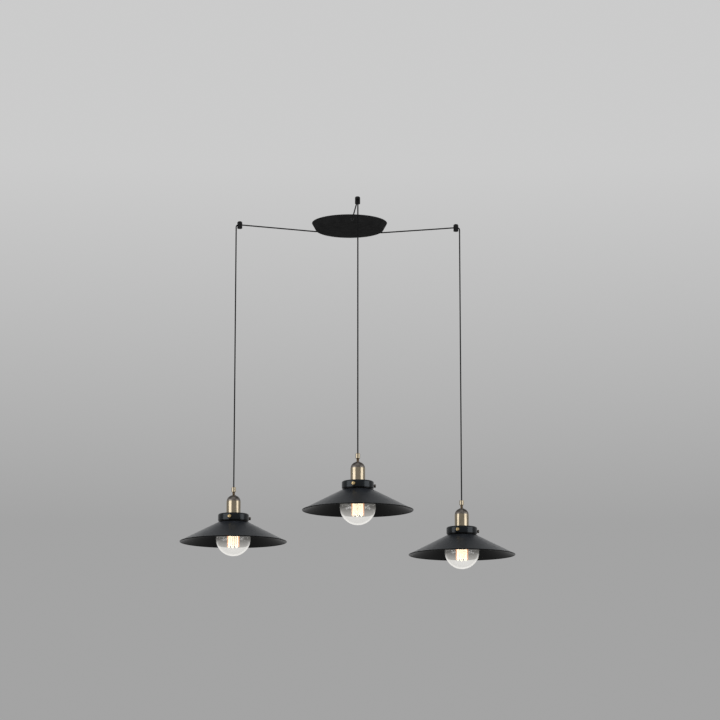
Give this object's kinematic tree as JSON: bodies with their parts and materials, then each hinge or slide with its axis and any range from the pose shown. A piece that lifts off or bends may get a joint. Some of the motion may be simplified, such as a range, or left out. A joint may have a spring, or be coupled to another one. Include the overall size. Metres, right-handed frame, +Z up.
{
  "type": "pendant light",
  "caption": "Pendant light with flat black cone shades on aged brass lampholders, its cords led from a round ceiling canopy through small ceiling hooks.",
  "frame": {"origin": "centre of the canopy's rim on the ceiling, midway between the two ceiling screws", "axes": "+Z up into the ceiling, +X along the ceiling bracket towards the right lamp, -Y towards the front lamp"},
  "size_m": [0.925, 0.6181, 0.978],
  "materials": {
    "black_coat": "matte black powder coat",
    "shade_coat": "satin charcoal paint on spun metal",
    "zinc_steel": "zinc plated",
    "cream_plastic": "moulded",
    "black_plastic": "moulded",
    "bare_brass": "bright",
    "cord_sheath": "smooth flexible sheath",
    "aged_brass": "antique brass, lacquered",
    "bronze": "dull bronze",
    "porcelain": "unglazed",
    "clear_glass": "clear",
    "filament_glow": "glowing wire"
  },
  "bodies": {
    "ceiling": {"canopy_cover": "black_coat", "ceiling_bracket": "zinc_steel", "cover_screws": "black_coat", "terminal_block": "cream_plastic", "terminal_screws": "bare_brass", "outlet_bushes": "black_plastic", "cord_tails": "cord_sheath", "ceiling_hooks": "black_coat", "hook_screws": "zinc_steel", "left_cord_span": "cord_sheath", "front_cord_span": "cord_sheath", "right_cord_span": "cord_sheath"},
    "left_bend": {"left_cord_bend": "cord_sheath"},
    "left_cord": {"left_cord_drop": "cord_sheath"},
    "left_lamp": {"left_cord_grip": "aged_brass", "left_holder_cap": "bronze", "left_holder_sleeve": "aged_brass", "left_ceramic_core": "porcelain", "left_socket_contacts": "bare_brass", "left_shade_holder": "black_coat", "left_ring_nut": "zinc_steel", "left_shade": "shade_coat"},
    "left_bulb": {"left_bulb_glass": "clear_glass", "left_bulb_cap": "bare_brass", "left_filament": "filament_glow"},
    "left_thumb_1": {"left_thumb_screw_1": "aged_brass"},
    "left_thumb_2": {"left_thumb_screw_2": "bronze"},
    "left_thumb_3": {"left_thumb_screw_3": "bronze"},
    "front_bend": {"front_cord_bend": "cord_sheath"},
    "front_cord": {"front_cord_drop": "cord_sheath"},
    "front_lamp": {"front_cord_grip": "aged_brass", "front_holder_cap": "bronze", "front_holder_sleeve": "aged_brass", "front_ceramic_core": "porcelain", "front_socket_contacts": "bare_brass", "front_shade_holder": "black_coat", "front_ring_nut": "zinc_steel", "front_shade": "shade_coat"},
    "front_bulb": {"front_bulb_glass": "clear_glass", "front_bulb_cap": "bare_brass", "front_filament": "filament_glow"},
    "front_thumb_1": {"front_thumb_screw_1": "aged_brass"},
    "front_thumb_2": {"front_thumb_screw_2": "bronze"},
    "front_thumb_3": {"front_thumb_screw_3": "bronze"},
    "right_bend": {"right_cord_bend": "cord_sheath"},
    "right_cord": {"right_cord_drop": "cord_sheath"},
    "right_lamp": {"right_cord_grip": "aged_brass", "right_holder_cap": "bronze", "right_holder_sleeve": "aged_brass", "right_ceramic_core": "porcelain", "right_socket_contacts": "bare_brass", "right_shade_holder": "black_coat", "right_ring_nut": "zinc_steel", "right_shade": "shade_coat"},
    "right_bulb": {"right_bulb_glass": "clear_glass", "right_bulb_cap": "bare_brass", "right_filament": "filament_glow"},
    "right_thumb_1": {"right_thumb_screw_1": "aged_brass"},
    "right_thumb_2": {"right_thumb_screw_2": "bronze"},
    "right_thumb_3": {"right_thumb_screw_3": "bronze"}
  },
  "joints": [
    {"name": "left_swing_across", "type": "hinge", "parent": "ceiling", "child": "left_bend", "pos_m": [-0.309, -0.022, -0.01], "axis": [-0.9537, -0.3007, 0], "range_deg": [-15, 13]},
    {"name": "left_swing_along", "type": "hinge", "parent": "left_bend", "child": "left_cord", "pos_m": [-0.31892, -0.02513, -0.0178], "axis": [-0.3007, 0.9537, 0], "range_deg": [-8, 15]},
    {"name": "left_twist", "type": "hinge", "parent": "left_cord", "child": "left_lamp", "pos_m": [-0.31892, -0.02513, -0.755], "axis": [0, 0, 1], "range_deg": [-180, 180], "stiffness_Nm_per_rad": 0.002},
    {"name": "left_bulb_turn", "type": "hinge", "parent": "left_lamp", "child": "left_bulb", "pos_m": [-0.31892, -0.02513, -0.815], "axis": [0, 0, -1], "range_deg": [0, 360]},
    {"name": "left_thumb_1_back_out", "type": "slide", "parent": "left_lamp", "child": "left_thumb_1", "axis": [-0.1822, -0.9833, 0], "range_m": [0, 0.002]},
    {"name": "left_thumb_2_back_out", "type": "slide", "parent": "left_lamp", "child": "left_thumb_2", "axis": [0.9426, 0.3338, 0], "range_m": [0, 0.002]},
    {"name": "left_thumb_3_back_out", "type": "slide", "parent": "left_lamp", "child": "left_thumb_3", "axis": [-0.7604, 0.6494, 0], "range_m": [0, 0.002]},
    {"name": "front_swing_across", "type": "hinge", "parent": "ceiling", "child": "front_bend", "pos_m": [0.023, -0.303, -0.01], "axis": [0.0732, -0.9973, 0], "range_deg": [-15, 15]},
    {"name": "front_swing_along", "type": "hinge", "parent": "front_bend", "child": "front_cord", "pos_m": [0.02376, -0.31337, -0.0178], "axis": [-0.9973, -0.0732, 0], "range_deg": [-8, 15]},
    {"name": "front_twist", "type": "hinge", "parent": "front_cord", "child": "front_lamp", "pos_m": [0.02376, -0.31337, -0.704], "axis": [0, 0, 1], "range_deg": [-180, 180], "stiffness_Nm_per_rad": 0.002},
    {"name": "front_bulb_turn", "type": "hinge", "parent": "front_lamp", "child": "front_bulb", "pos_m": [0.02376, -0.31337, -0.764], "axis": [0, 0, -1], "range_deg": [0, 360]},
    {"name": "front_thumb_1_back_out", "type": "slide", "parent": "front_lamp", "child": "front_thumb_1", "axis": [-0.2419, -0.9703, 0], "range_m": [0, 0.002]},
    {"name": "front_thumb_2_back_out", "type": "slide", "parent": "front_lamp", "child": "front_thumb_2", "axis": [0.9613, 0.2756, 0], "range_m": [0, 0.002]},
    {"name": "front_thumb_3_back_out", "type": "slide", "parent": "front_lamp", "child": "front_thumb_3", "axis": [-0.7193, 0.6947, 0], "range_m": [0, 0.002]},
    {"name": "right_swing_across", "type": "hinge", "parent": "ceiling", "child": "right_bend", "pos_m": [0.301, 0.012, -0.01], "axis": [0.9763, -0.2164, 0], "range_deg": [-15, 15]},
    {"name": "right_swing_along", "type": "hinge", "parent": "right_bend", "child": "right_cord", "pos_m": [0.31115, 0.00975, -0.0178], "axis": [-0.2164, -0.9763, 0], "range_deg": [-8, 15]},
    {"name": "right_twist", "type": "hinge", "parent": "right_cord", "child": "right_lamp", "pos_m": [0.31115, 0.00975, -0.787], "axis": [0, 0, 1], "range_deg": [-180, 180], "stiffness_Nm_per_rad": 0.002},
    {"name": "right_bulb_turn", "type": "hinge", "parent": "right_lamp", "child": "right_bulb", "pos_m": [0.31115, 0.00975, -0.847], "axis": [0, 0, -1], "range_deg": [0, 360]},
    {"name": "right_thumb_1_back_out", "type": "slide", "parent": "right_lamp", "child": "right_thumb_1", "axis": [-0.284, -0.9588, 0], "range_m": [0, 0.002]},
    {"name": "right_thumb_2_back_out", "type": "slide", "parent": "right_lamp", "child": "right_thumb_2", "axis": [0.9724, 0.2334, 0], "range_m": [0, 0.002]},
    {"name": "right_thumb_3_back_out", "type": "slide", "parent": "right_lamp", "child": "right_thumb_3", "axis": [-0.6884, 0.7254, 0], "range_m": [0, 0.002]}
  ]
}
